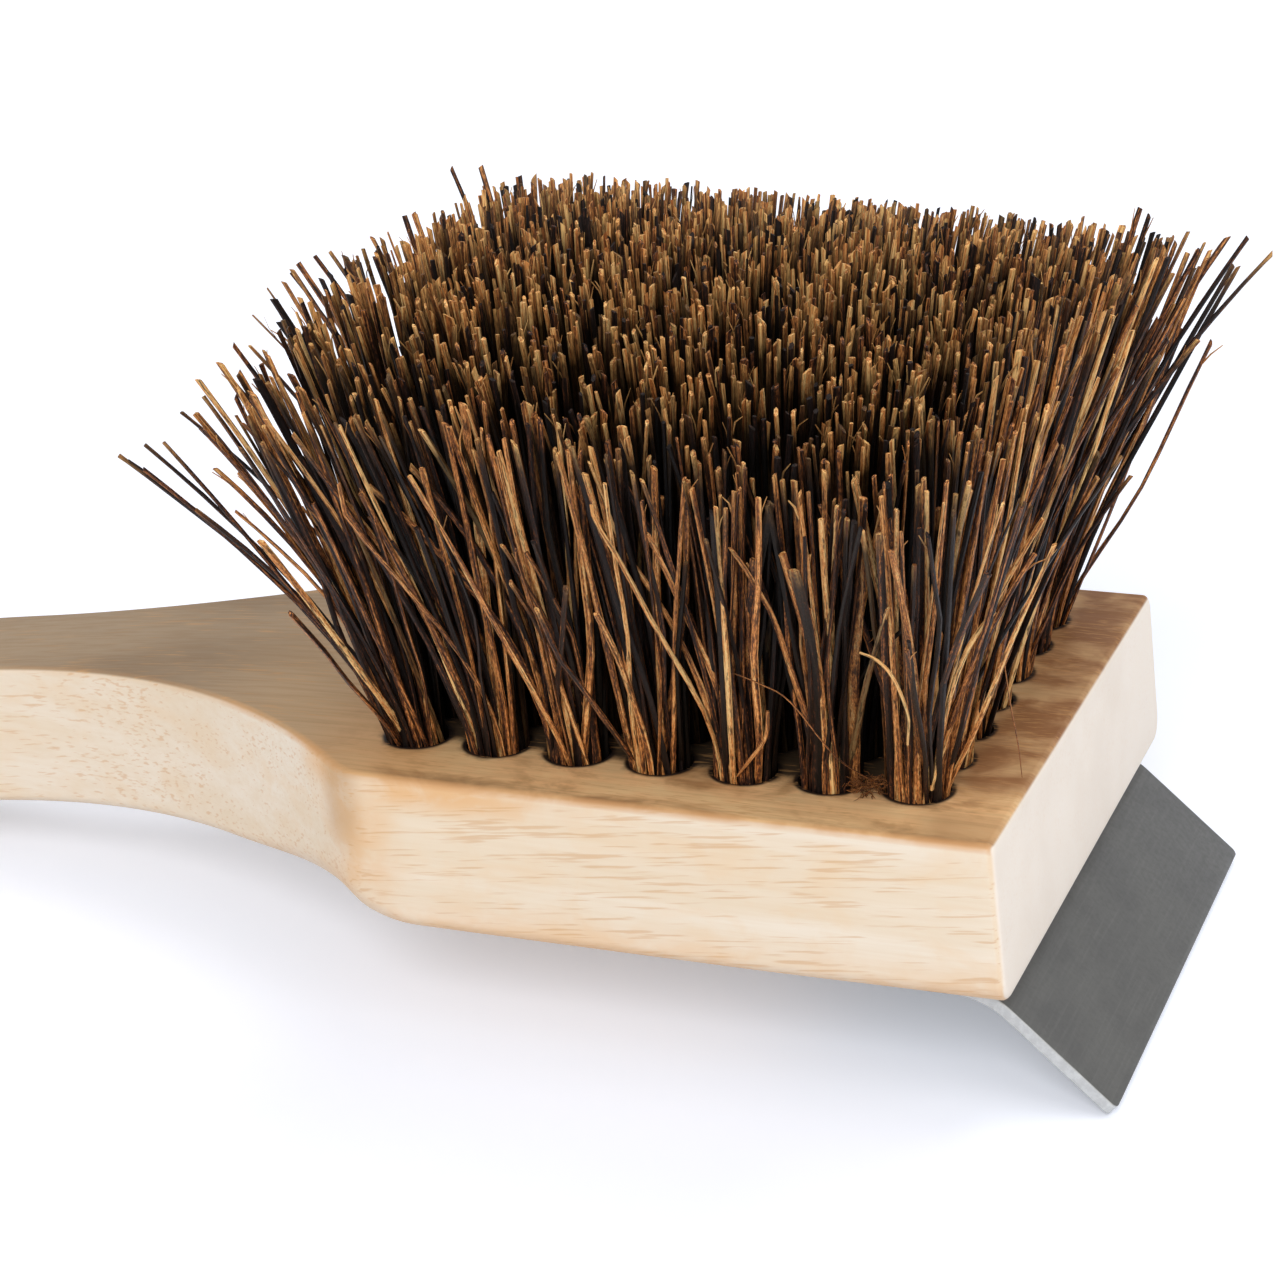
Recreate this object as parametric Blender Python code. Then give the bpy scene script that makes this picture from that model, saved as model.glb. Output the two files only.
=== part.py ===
"""A long-handled grill brush: one wooden block, 49 tufts of palm fibre and a bent steel scraper.

Metres, +Z up. The brush lies on its back with its bristles up, as on a table: it rests on the
scraper's edge and on the underside of the grip. +X runs along it to the scraper, Y across it.
The origin is on the table, under the middle of the brush.

Each piece is modelled from the nose of the block, where X is 0, and from its deck, the face that
the bristles stand on, where Z is 0. The empty named brush carries all of them to their place.
"""

import math
import random

import bmesh
import bpy
from mathutils import Matrix

# The wooden block: the head
head_length = 0.076
head_width = 0.076
board_thickness = 0.019
nose_slant = 0.0014
deck_edge_radius = 0.001
back_edge_radius = 0.0015
nose_edge_radius = 0.0008
rear_corner_ease = 0.0016

# The wooden block: the neck and the handle
block_length = 0.405
neck_length = 0.067
waist_width = 0.020
grip_width = 0.029
tail_width = 0.026
grip_widest = 0.290
drop_length = 0.158
neck_edge_radius = 0.0015
grip_edge_radius = 0.0055
grip_rounding_length = 0.060
hang_hole_radius = 0.0045
hang_hole_inset = 0.019

# The tufts and their holes
least_row_pitch = 0.0085
least_column_pitch = 0.0098
front_margin = 0.0115
rear_margin = 0.0046
side_margin = 0.012
hole_radius = 0.0036
hole_depth = 0.011
fit_gap = 0.0003
bristle_length = 0.0508
strand_gap = 0.00017
strand_taper = 0.0002
nose_lean = 0.0078
handle_lean = 0.0062
side_lean = 0.0185
trim_rise = 0.0016
trim_scatter = 0.0012
staple_margin = 0.0012
staple_thickness = 0.0006
staple_depth = 0.0022

# The scraper
plate_thickness = 0.00145
plate_inset = 0.0048
plate_tail = 0.0105
plate_corner_radius = 0.0008
bend_setback = 0.0058
bend_radius = 0.00855
blade_length = 0.0154
blade_angle = math.radians(41.4)

# The scraper's screws
screw_shank_radius = 0.0015
screw_head_radius = 0.0035
screw_head_height = 0.0022
screw_length = 0.0095
recess_span = 0.0038
recess_width = 0.0009
recess_depth = 0.0012

# How far a cutter or a joined shape runs on past the face that it starts from
overrun = 0.002

# Shares and counts that shape the forms
ring_share = 0.62
spread_share = 0.42
inner_lean_share = 0.78
strand_middle_share = 0.42
strand_bend_power = 1.6
rim_ring_strands = 7
inner_ring_strands = 6
hole_sides = 8
corner_steps = 4
neck_steps = 12
grip_steps = 13
tail_steps = 7
bend_steps = 6

# Sizes that follow from the ones above
neck_end = head_length + neck_length
neck_drop_in = (head_width - waist_width) / 2
neck_radius = (neck_length**2 + neck_drop_in**2) / (2 * neck_drop_in)
field_length = head_length - front_margin - rear_margin
field_width = head_width - 2 * side_margin
tuft_columns = 1 + int(field_length / least_column_pitch)
tuft_rows = 1 + int(field_width / least_row_pitch)
column_pitch = field_length / (tuft_columns - 1)
row_pitch = field_width / (tuft_rows - 1)
field_middle = front_margin + field_length / 2
root_radius = hole_radius - fit_gap
staple_width = 2 * (root_radius - staple_margin)
strand_ring_radius = root_radius * ring_share
strand_radius = strand_ring_radius * math.sin(math.pi / rim_ring_strands) - strand_gap / 2
strand_tip_radius = strand_radius - strand_taper
root_bottom = fit_gap - hole_depth
staple_top = root_bottom + staple_thickness
plate_top = -board_thickness - fit_gap
plate_width = head_width - 2 * plate_inset
outer_bend_radius = bend_radius + plate_thickness
screw_x = -(front_margin + column_pitch / 2)
screw_y = (tuft_rows / 2 - 1) * row_pitch
plate_rear = screw_x - plate_tail
blade_rise = outer_bend_radius * (1 - math.cos(blade_angle)) + blade_length * math.sin(blade_angle)
blade_low = plate_top - blade_rise - plate_thickness * math.cos(blade_angle)
blade_reach = outer_bend_radius * math.sin(blade_angle) + blade_length * math.cos(blade_angle) - bend_setback
handle_drop = -blade_low - board_thickness
nose_x = (block_length - blade_reach) / 2


def clear_scene():
    for thing in list(bpy.data.objects):
        bpy.data.objects.remove(thing)


def material(name, colour, roughness, metallic=0.0):
    made = bpy.data.materials.new(name)
    made.use_nodes = True
    shader = made.node_tree.nodes["Principled BSDF"]
    shader.inputs["Base Color"].default_value = (*colour, 1.0)
    shader.inputs["Roughness"].default_value = roughness
    shader.inputs["Metallic"].default_value = metallic
    made.diffuse_color = (*colour, 1.0)
    return made


def add_object(name, mesh, parent, surface=None):
    thing = bpy.data.objects.new(name, mesh)
    bpy.context.scene.collection.objects.link(thing)
    thing.parent = parent
    if surface:
        mesh.materials.append(surface)
    return thing


def walls(bm, rings):
    """Joins closed rings of points, one after the other."""
    loops = [[bm.verts.new(point) for point in ring] for ring in rings]
    for first, second in zip(loops, loops[1:]):
        for k in range(len(first)):
            bm.faces.new((first[k - 1], first[k], second[k], second[k - 1]))
    return loops


def loft(bm, rings):
    """Joins closed rings of points and caps both ends."""
    loops = walls(bm, rings)
    bm.faces.new(loops[0])
    bm.faces.new(loops[-1])


def loop_edges(bm, loop):
    return [bm.edges.get((loop[k - 1], loop[k])) for k in range(len(loop))]


def finished_mesh(name, bm):
    bmesh.ops.recalc_face_normals(bm, faces=bm.faces)
    mesh = bpy.data.meshes.new(name)
    bm.to_mesh(mesh)
    bm.free()
    return mesh


def lofted_mesh(name, *lofts):
    bm = bmesh.new()
    for rings in lofts:
        loft(bm, rings)
    return finished_mesh(name, bm)


def smooth(thing, angle):
    thing.data.shade_smooth()
    thing.data.set_sharp_from_angle(angle=angle)


def circle(radius, z, sides, x=0.0, y=0.0, turn=0.0):
    angles = [turn + math.tau * k / sides for k in range(sides)]
    return [(x + radius * math.cos(a), y + radius * math.sin(a), z) for a in angles]


def box(x, y, z):
    """The two rings of a box between a low and a high value on each axis."""
    return [[(x[0], y[0], h), (x[1], y[0], h), (x[1], y[1], h), (x[0], y[1], h)] for h in z]


def boolean(thing, other, operation):
    modifier = thing.modifiers.new(other.name, "BOOLEAN")
    modifier.operation = operation
    modifier.solver = "EXACT"
    modifier.object = other


def add_cutter(name, parent, cut_thing, *lofts):
    cutter = add_object(name, lofted_mesh(name, *lofts), parent)
    cutter.hide_render = True
    cutter.display_type = "WIRE"
    boolean(cut_thing, cutter, "DIFFERENCE")


def fuse(thing, *others):
    """Unites the others with the thing and takes them away."""
    for other in others:
        boolean(thing, other, "UNION")
    graph = bpy.context.evaluated_depsgraph_get()
    united = bpy.data.meshes.new_from_object(thing.evaluated_get(graph))
    thing.modifiers.clear()
    thing.data = united
    for other in others:
        bpy.data.objects.remove(other)


def ease(share):
    """From 0 to 1 along half a wave, level at both ends."""
    return (1 - math.cos(math.pi * min(max(share, 0.0), 1.0))) / 2


# The wooden block
def block_half_width(back):
    """Half the block's width at a distance back from its nose."""
    if back < head_length - 2 * rear_corner_ease:
        return head_width / 2
    if back < neck_end:
        across = neck_radius - math.sqrt(neck_radius**2 - (neck_end - back) ** 2)
        neck = waist_width / 2 + across
        apart = neck - head_width / 2
        return (neck + head_width / 2 - math.hypot(apart, rear_corner_ease)) / 2
    if back < grip_widest:
        return blend(waist_width, grip_width, (back - neck_end) / (grip_widest - neck_end)) / 2
    return blend(grip_width, tail_width, (back - grip_widest) / (block_length - grip_widest)) / 2


def blend(start, end, share):
    return start + (end - start) * ease(share)


def block_section(back, half_width, inset=0.0):
    """The block's cross-section: flat faces between four rounded corners, shrunk by an inset."""
    top = -handle_drop * ease((back - head_length) / drop_length) - inset
    bottom = top + 2 * inset - board_thickness
    into_grip = (back - neck_end) / grip_rounding_length
    top_radius = blend(deck_edge_radius, grip_edge_radius, into_grip)
    lower_radius = blend(back_edge_radius, neck_edge_radius, (back - head_length) / neck_length)
    back_radius = blend(lower_radius, grip_edge_radius, into_grip)
    corners = (
        (1, 1, top, top_radius),
        (-1, 1, top, top_radius),
        (-1, -1, bottom, back_radius),
        (1, -1, bottom, back_radius),
    )
    points = []
    for quarter, (side, up, level, radius) in enumerate(corners):
        radius = min(radius, half_width * ring_share)
        for k in range(corner_steps + 1):
            turn = math.pi / 2 * (quarter + k / corner_steps)
            y = side * (half_width - radius) + radius * math.cos(turn)
            z = level - up * radius + radius * math.sin(turn)
            forward = -nose_slant * z / board_thickness if back <= nose_edge_radius else 0.0
            points.append((forward - back, y, z))
    return points


def block_sections():
    sections = [block_section(0.0, head_width / 2 - nose_edge_radius, nose_edge_radius)]
    stops = [nose_edge_radius, fit_gap - plate_rear]
    stops += [head_length - 2 * rear_corner_ease, head_length - rear_corner_ease]
    stops += [head_length + neck_length * k / neck_steps for k in range(neck_steps)]
    tail_length = tail_width / 2
    grip_length = block_length - tail_length - neck_end
    stops += [neck_end + grip_length * k / grip_steps for k in range(grip_steps + 1)]
    sections += [block_section(back, block_half_width(back)) for back in stops]
    for k in range(1, tail_steps):
        turn = math.pi / 2 * k / tail_steps
        back = block_length - tail_length * (1 - math.sin(turn))
        inset = grip_edge_radius / 2 * (1 - math.cos(turn))
        sections.append(block_section(back, block_half_width(back) * math.cos(turn), inset))
    return sections


def tuft_places():
    """Each tuft's row and column, counted from 1, and its middle on the deck."""
    for row in range(tuft_rows):
        for column in range(tuft_columns):
            x = -(front_margin + column * column_pitch)
            y = (row - (tuft_rows - 1) / 2) * row_pitch
            yield row + 1, column + 1, x, y


def staple_box(x, y, gap, top):
    """The flat wire staple that holds a tuft's fold, driven into the bottom of its hole."""
    half_width = staple_width / 2 + gap
    half_thickness = staple_thickness / 2 + gap
    levels = (root_bottom - staple_depth - gap, top)
    return box((x - half_width, x + half_width), (y - half_thickness, y + half_thickness), levels)


def sink_hole(bm, x, y):
    """One tuft's hole, with its staple's slot in its floor; returns the edges of its rim."""
    floor, rim = walls(bm, [circle(hole_radius, z, hole_sides, x, y) for z in (-hole_depth, 0.0)])
    slot_floor, slot_rim = walls(bm, staple_box(x, y, fit_gap, -hole_depth))
    bm.faces.new(slot_floor)
    bmesh.ops.triangle_fill(bm, use_beauty=True, edges=loop_edges(bm, floor) + loop_edges(bm, slot_rim))
    return loop_edges(bm, rim)


def drilled_block_mesh():
    """The block with its deck filled in between the outline and the rims of the tufts' holes."""
    bm = bmesh.new()
    loft(bm, block_sections())
    deck = [face for face in bm.faces if not any(vertex.co.z for vertex in face.verts)]
    deck = bmesh.ops.dissolve_faces(bm, faces=deck)["region"]
    edges = list(deck[0].edges)
    bmesh.ops.delete(bm, geom=deck, context="FACES_ONLY")
    for _, _, x, y in tuft_places():
        edges += sink_hole(bm, x, y)
    bmesh.ops.triangle_fill(bm, use_beauty=True, edges=edges)
    return finished_mesh("handle_block", bm)


def make_block(brush, wood):
    block = add_object("handle_block", drilled_block_mesh(), brush, wood)
    pilot_radius = screw_shank_radius + fit_gap
    pilot_top = screw_top() + fit_gap
    pilots = [
        [circle(pilot_radius, z, hole_sides, screw_x, y) for z in (-board_thickness - overrun, pilot_top)]
        for y in (-screw_y, screw_y)
    ]
    hang_x = hang_hole_inset - block_length
    hang_levels = (blade_low - overrun, -handle_drop + overrun)
    hang_hole = [circle(hang_hole_radius, z, 2 * hole_sides, hang_x) for z in hang_levels]
    add_cutter("screw_and_hang_hole_cutter", brush, block, hang_hole, *pilots)
    smooth(block, math.radians(30))


# The tufts
def lean(place, half_field, reach):
    """How far a bristle's tip stands out from a place in the field: none in the middle."""
    share = place / half_field
    return reach * (inner_lean_share * share + (1 - inner_lean_share) * share**3)


def tip_place(x, y):
    """Where the bristle of a place in the field ends, seen from above."""
    from_middle = x + field_middle
    reach = nose_lean if from_middle > 0 else handle_lean
    return x + lean(from_middle, field_length / 2, reach), y + lean(y, field_width / 2, side_lean)


def strand_rings(x, y, tip_x, tip_y, length, turn):
    """A three-sided bristle that starts upright in its tuft's root and bends out to its tip."""
    top = math.sqrt(length**2 - (tip_x - x) ** 2 - (tip_y - y) ** 2)
    rings = [circle(strand_radius, -overrun, 3, x, y, turn)]
    for share, radius in ((strand_middle_share, strand_radius), (1.0, strand_tip_radius)):
        out = share**strand_bend_power
        middle = (x + (tip_x - x) * out, y + (tip_y - y) * out)
        rings.append(circle(radius, top * share, 3, *middle, turn))
    return rings


def tuft_strands(x, y, ring_strands, chance):
    """One bristle in the middle of the tuft and a ring of them round it, spread at their tips."""
    outward = math.atan2(y, x + field_middle)
    trim_length = bristle_length - trim_rise * (x + field_middle) / (field_length / 2)
    places = [(0.0, 0.0)]
    for k in range(ring_strands):
        angle = outward + math.tau * k / ring_strands
        places.append((math.cos(angle), math.sin(angle)))
    strands = []
    for across, along in places:
        root = (x + across * strand_ring_radius, y + along * strand_ring_radius)
        spread_x = across * column_pitch * spread_share
        spread_y = along * row_pitch * spread_share
        tip = tip_place(x + spread_x, y + spread_y)
        length = trim_length - chance.uniform(0.0, trim_scatter)
        strands.append(strand_rings(*root, *tip, length, outward + math.atan2(along, across)))
    return strands


def make_tuft(row, column, x, y, brush, fibre, chance):
    """A tuft folded under its staple: the packed root that fills the hole, and its bristles."""
    name = f"bristle_tuft_r{row}c{column}"
    root = [circle(root_radius, z, hole_sides, x, y) for z in (root_bottom, -fit_gap)]
    tuft = add_object(name, lofted_mesh(name, root), brush, fibre)
    on_rim = row in (1, tuft_rows) or column in (1, tuft_columns)
    bristles = tuft_strands(x, y, rim_ring_strands if on_rim else inner_ring_strands, chance)
    strands = add_object("strands", lofted_mesh("strands", *bristles), brush, fibre)
    staple = add_object("staple", lofted_mesh("staple", staple_box(x, y, 0.0, staple_top)), brush, fibre)
    fuse(tuft, strands, staple)
    smooth(tuft, math.radians(50))


# The scraper
def plate_rows():
    """The plate's upper face from its rear edge to its tip: X, Z and half width."""
    half = plate_width / 2
    turns = [math.pi / 2 * k / corner_steps for k in range(corner_steps + 1)]
    corner = [(plate_corner_radius * (1 - math.sin(a)), plate_corner_radius * (1 - math.cos(a))) for a in turns]
    rows = [(plate_rear + along, plate_top, half - across) for along, across in reversed(corner)]
    for k in range(bend_steps + 1):
        turn = blade_angle * k / bend_steps
        x = outer_bend_radius * math.sin(turn) - bend_setback
        z = plate_top - outer_bend_radius * (1 - math.cos(turn))
        rows.append((x, z, half))
    for along, across in corner:
        run = blade_length - along
        rows.append((x + run * math.cos(blade_angle), z - run * math.sin(blade_angle), half - across))
    return rows


def make_scraper(brush, steel):
    """A steel strip bent down past the nose, screwed flat to the back of the head."""
    bm = bmesh.new()
    rows = [[bm.verts.new((x, side * half, z)) for side in (-1, 1)] for x, z, half in plate_rows()]
    for first, second in zip(rows, rows[1:]):
        bm.faces.new((first[0], second[0], second[1], first[1]))
    mesh = bpy.data.meshes.new("scraper_blade")
    bm.to_mesh(mesh)
    bm.free()
    blade = add_object("scraper_blade", mesh, brush, steel)
    thicken = blade.modifiers.new("plate", "SOLIDIFY")
    thicken.thickness = plate_thickness
    thicken.offset = -1.0
    thicken.use_even_offset = True
    hole_radius_in_plate = screw_shank_radius + fit_gap
    levels = (plate_top - plate_thickness - overrun, plate_top + overrun)
    holes = [
        [circle(hole_radius_in_plate, z, 2 * hole_sides, screw_x, y) for z in levels]
        for y in (-screw_y, screw_y)
    ]
    add_cutter("plate_hole_cutter", brush, blade, *holes)
    smooth(blade, math.radians(30))


def screw_seat():
    return plate_top - plate_thickness - fit_gap


def screw_top():
    return screw_seat() + screw_length


def make_screw(name, y, brush, steel):
    """A round-headed wood screw driven up through the plate, its shank tapered to a point."""
    seat = screw_seat()
    head_turns = [math.pi / 2 * k / corner_steps for k in range(1, corner_steps + 1)]
    profile = [
        (screw_head_radius * math.sin(a), seat - screw_head_height * math.cos(a)) for a in head_turns
    ]
    profile.insert(0, (recess_span / 2, seat - screw_head_height))
    tip_length = 2 * screw_shank_radius
    profile = [profile[0]] + [point for point in profile[1:] if point[0] > profile[0][0]]
    profile += [
        (screw_shank_radius, seat),
        (screw_shank_radius, screw_top() - tip_length),
        (screw_shank_radius / 4, screw_top()),
    ]
    rings = [circle(radius, z, 2 * hole_sides, screw_x, y) for radius, z in profile]
    screw = add_object(name, lofted_mesh(name, rings), brush, steel)
    half_span = recess_span / 2
    half_width = recess_width / 2
    levels = (seat - screw_head_height - overrun, seat - screw_head_height + recess_depth)
    along = ((screw_x - half_span, screw_x + half_span), (y - half_width, y + half_width))
    across = ((screw_x - half_width, screw_x + half_width), (y - half_span, y + half_span))
    add_cutter(f"{name}_slot_cutter", brush, screw, box(*along, levels))
    add_cutter(f"{name}_cross_cutter", brush, screw, box(*across, levels))
    smooth(screw, math.radians(30))


def main():
    clear_scene()
    wood = material("pale_beech", (0.80, 0.62, 0.42), 0.6)
    fibre = material("palm_fibre", (0.085, 0.042, 0.02), 0.55)
    steel = material("satin_steel", (0.42, 0.42, 0.41), 0.38, 1.0)
    zinc = material("zinc_plate", (0.62, 0.62, 0.6), 0.3, 1.0)
    brush = bpy.data.objects.new("brush", None)
    bpy.context.scene.collection.objects.link(brush)
    brush.matrix_world = Matrix.Translation((nose_x, 0.0, -blade_low))
    make_block(brush, wood)
    chance = random.Random(7)
    for row, column, x, y in tuft_places():
        make_tuft(row, column, x, y, brush, fibre, chance)
    make_scraper(brush, steel)
    make_screw("scraper_screw_near", -screw_y, brush, zinc)
    make_screw("scraper_screw_far", screw_y, brush, zinc)


main()
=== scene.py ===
import math
import random

import bmesh
import bpy
from mathutils import Matrix, Vector, noise


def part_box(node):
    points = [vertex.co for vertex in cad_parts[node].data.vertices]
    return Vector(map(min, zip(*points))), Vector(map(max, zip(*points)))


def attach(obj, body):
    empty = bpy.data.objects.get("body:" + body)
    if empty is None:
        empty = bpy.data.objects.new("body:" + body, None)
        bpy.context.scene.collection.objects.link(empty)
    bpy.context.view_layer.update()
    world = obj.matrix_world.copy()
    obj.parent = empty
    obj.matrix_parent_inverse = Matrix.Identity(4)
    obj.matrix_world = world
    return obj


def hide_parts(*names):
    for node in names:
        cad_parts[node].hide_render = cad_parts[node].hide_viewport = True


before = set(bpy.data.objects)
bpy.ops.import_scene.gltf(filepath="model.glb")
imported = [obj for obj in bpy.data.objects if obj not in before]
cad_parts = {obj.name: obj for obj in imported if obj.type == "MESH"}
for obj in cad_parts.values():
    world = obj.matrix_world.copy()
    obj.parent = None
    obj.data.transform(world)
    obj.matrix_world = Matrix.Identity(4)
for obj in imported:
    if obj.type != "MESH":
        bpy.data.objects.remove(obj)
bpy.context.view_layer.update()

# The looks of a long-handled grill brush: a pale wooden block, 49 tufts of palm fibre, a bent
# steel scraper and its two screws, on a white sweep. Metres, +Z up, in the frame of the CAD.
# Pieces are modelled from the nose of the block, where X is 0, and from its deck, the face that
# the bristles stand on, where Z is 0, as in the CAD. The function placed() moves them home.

# The wooden block, with the sizes of the CAD
head_length = 0.076
head_width = 0.076
board_thickness = 0.019
nose_slant = 0.0014
nose_slant_reach = 0.0273
nose_edge_radius = 0.0009
deck_edge_radius = 0.001
rear_corner_ease = 0.0016
block_length = 0.405
neck_length = 0.067
waist_width = 0.020
grip_width = 0.029
tail_width = 0.026
grip_widest = 0.290
drop_length = 0.158
neck_edge_radius = 0.0015
grip_edge_radius = 0.0055
grip_rounding_length = 0.060
hang_hole_radius = 0.0045
hang_hole_inset = 0.019
hang_hole_flare = 0.0009

# Wear that only this script shows: the rims of the holes, and rounder edges at the block's back,
# roundest behind the rear corners, with a reach towards the nose and one towards the handle
hole_rim_wear = 0.0001
back_edge_radius = 0.0020
nose_wear = 0.0006
nose_wear_reach = 0.030
shoulder_wear = 0.0040
shoulder_wear_back = 0.003
shoulder_wear_reach = (0.011, 0.022)

# The tufts
tuft_rows = 7
tuft_columns = 7
front_margin = 0.0115
rear_margin = 0.0046
side_margin = 0.012
hole_radius = 0.0036
hole_depth = 0.011
bristle_length = 0.0508
nose_lean = 0.0078
handle_lean = 0.0062
nose_fan = 0.1
handle_fan = 0.33
trim_rise = 0.0016
near_drift = 0.0045
side_lean = 0.0185
inner_lean_share = 0.78

# The scraper and its screws
plate_gap = 0.0003
plate_thickness = 0.00145
plate_inset = 0.0048
plate_tail = 0.0105
plate_corner_radius = 0.0008
plate_edge_radius = 0.00018
bend_setback = 0.0058
bend_radius = 0.00855
blade_length = 0.0154
blade_angle = math.radians(41.4)
screw_shank_radius = 0.0015
screw_head_radius = 0.0035
screw_head_height = 0.0022
screw_length = 0.0095
recess_span = 0.0038
recess_width = 0.0009
recess_depth = 0.0012
screw_core_share = 0.72
screw_threads = 8

# Sizes that follow
_, block_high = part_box("handle_block")
tail_length = tail_width / 2
neck_end = head_length + neck_length
neck_drop_in = (head_width - waist_width) / 2
neck_radius = (neck_length**2 + neck_drop_in**2) / (2 * neck_drop_in)
field_length = head_length - front_margin - rear_margin
field_width = head_width - 2 * side_margin
column_pitch = field_length / (tuft_columns - 1)
row_pitch = field_width / (tuft_rows - 1)
field_middle = front_margin + field_length / 2
plate_top = -board_thickness - plate_gap
plate_half_width = head_width / 2 - plate_inset
outer_bend_radius = bend_radius + plate_thickness
screw_x = -(front_margin + column_pitch / 2)
screw_y = (tuft_rows / 2 - 1) * row_pitch
screw_seat = plate_top - plate_thickness - plate_gap
screw_top = screw_seat + screw_length
blade_rise = outer_bend_radius * (1 - math.cos(blade_angle)) + blade_length * math.sin(blade_angle)
blade_low = plate_top - blade_rise - plate_thickness * math.cos(blade_angle)
handle_drop = -blade_low - board_thickness
home = Vector((block_high.x - nose_slant, 0.0, block_high.z))
rear_x = home.x - head_length
front_x = home.x - front_margin

# The camera that was fitted to the photograph
camera_from_nose_corner = Vector((0.08103, -0.29748, 0.14758))
camera_right = Vector((0.9338, 0.3544, -0.0481))
camera_up = Vector((-0.0898, 0.3627, 0.9276))
camera_back = Vector((0.3462, -0.8619, 0.3705))
camera_lens = 91.15
sensor_width = 36.0
clip_start, clip_end = 0.01, 50.0

# The sweep and the light. Colours are linear. Each sun has a name, its azimuth and elevation in
# degrees, its strength, and the width of its disc in degrees
floor_half_side = 30.0
floor_drop = 0.0002
floor_colour = (0.82, 0.84, 0.92)
floor_glow_colour = (0.92, 0.97, 1.05)
floor_glow = 0.30
world_strength = 0.435
sky_colour = (0.8, 0.8, 0.8)
suns = (
    ("top", 160.0, 70.0, 0.68, 32.0),
    ("front", 8.0, 37.0, 1.49, 30.0),
    ("nose", 75.0, 40.0, 0.58, 45.0),
)


# Shared tools
def ease(share):
    """From 0 to 1 along half a wave, level at both ends."""
    return (1 - math.cos(math.pi * min(max(share, 0), 1))) / 2


def blend(start, end, share):
    return start + (end - start) * ease(share)


def add_object(name, data):
    made = bpy.data.objects.new(name, data)
    bpy.context.scene.collection.objects.link(made)
    return made


def placed(name, mesh, material, replaced):
    """Adds a finished mesh as a piece of the brush that stands for one CAD node."""
    mesh.transform(Matrix.Translation(home))
    mesh.materials.clear()
    mesh.materials.append(material)
    piece = add_object(name, mesh)
    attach(piece, "root")
    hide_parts(replaced)


def walls(bm, rings):
    """Joins closed rings of points, one after the other."""
    loops = [[bm.verts.new(point) for point in ring] for ring in rings]
    for first, second in zip(loops, loops[1:]):
        for k in range(len(first)):
            bm.faces.new((first[k - 1], first[k], second[k], second[k - 1]))
    return loops


def loft(bm, rings):
    """A closed shape through rings of points."""
    loops = walls(bm, rings)
    bm.faces.new(loops[0])
    bm.faces.new(loops[-1])
    return loops


def finished_mesh(name, bm):
    bmesh.ops.recalc_face_normals(bm, faces=bm.faces)
    mesh = bpy.data.meshes.new(name)
    bm.to_mesh(mesh)
    bm.free()
    return mesh


def lofted_mesh(name, *lofts):
    bm = bmesh.new()
    for rings in lofts:
        loft(bm, rings)
    return finished_mesh(name, bm)


def quarter(steps):
    """Angles from 0 to a right angle in even steps."""
    return [math.pi / 2 * k / steps for k in range(steps + 1)]


def circle(radius, z, sides, x=0, y=0):
    angles = [math.tau * k / sides for k in range(sides)]
    return [(x + radius * math.cos(a), y + radius * math.sin(a), z) for a in angles]


def box(x, y, z):
    return [[(x[0], y[0], h), (x[1], y[0], h), (x[1], y[1], h), (x[0], y[1], h)] for h in z]


def cut(mesh, *lofts):
    """The mesh with other closed shapes cut out of it."""
    thing = add_object("cut_thing", mesh)
    cutter = add_object("cutter", lofted_mesh("cutter", *lofts))
    modifier = thing.modifiers.new("cut", "BOOLEAN")
    modifier.operation = "DIFFERENCE"
    modifier.solver = "EXACT"
    modifier.object = cutter
    graph = bpy.context.evaluated_depsgraph_get()
    result = bpy.data.meshes.new_from_object(thing.evaluated_get(graph))
    for each in (thing, cutter):
        bpy.data.objects.remove(each)
    result.name = mesh.name
    return result


def smooth(mesh, degrees):
    mesh.shade_smooth()
    mesh.set_sharp_from_angle(angle=math.radians(degrees))
    return mesh


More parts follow.
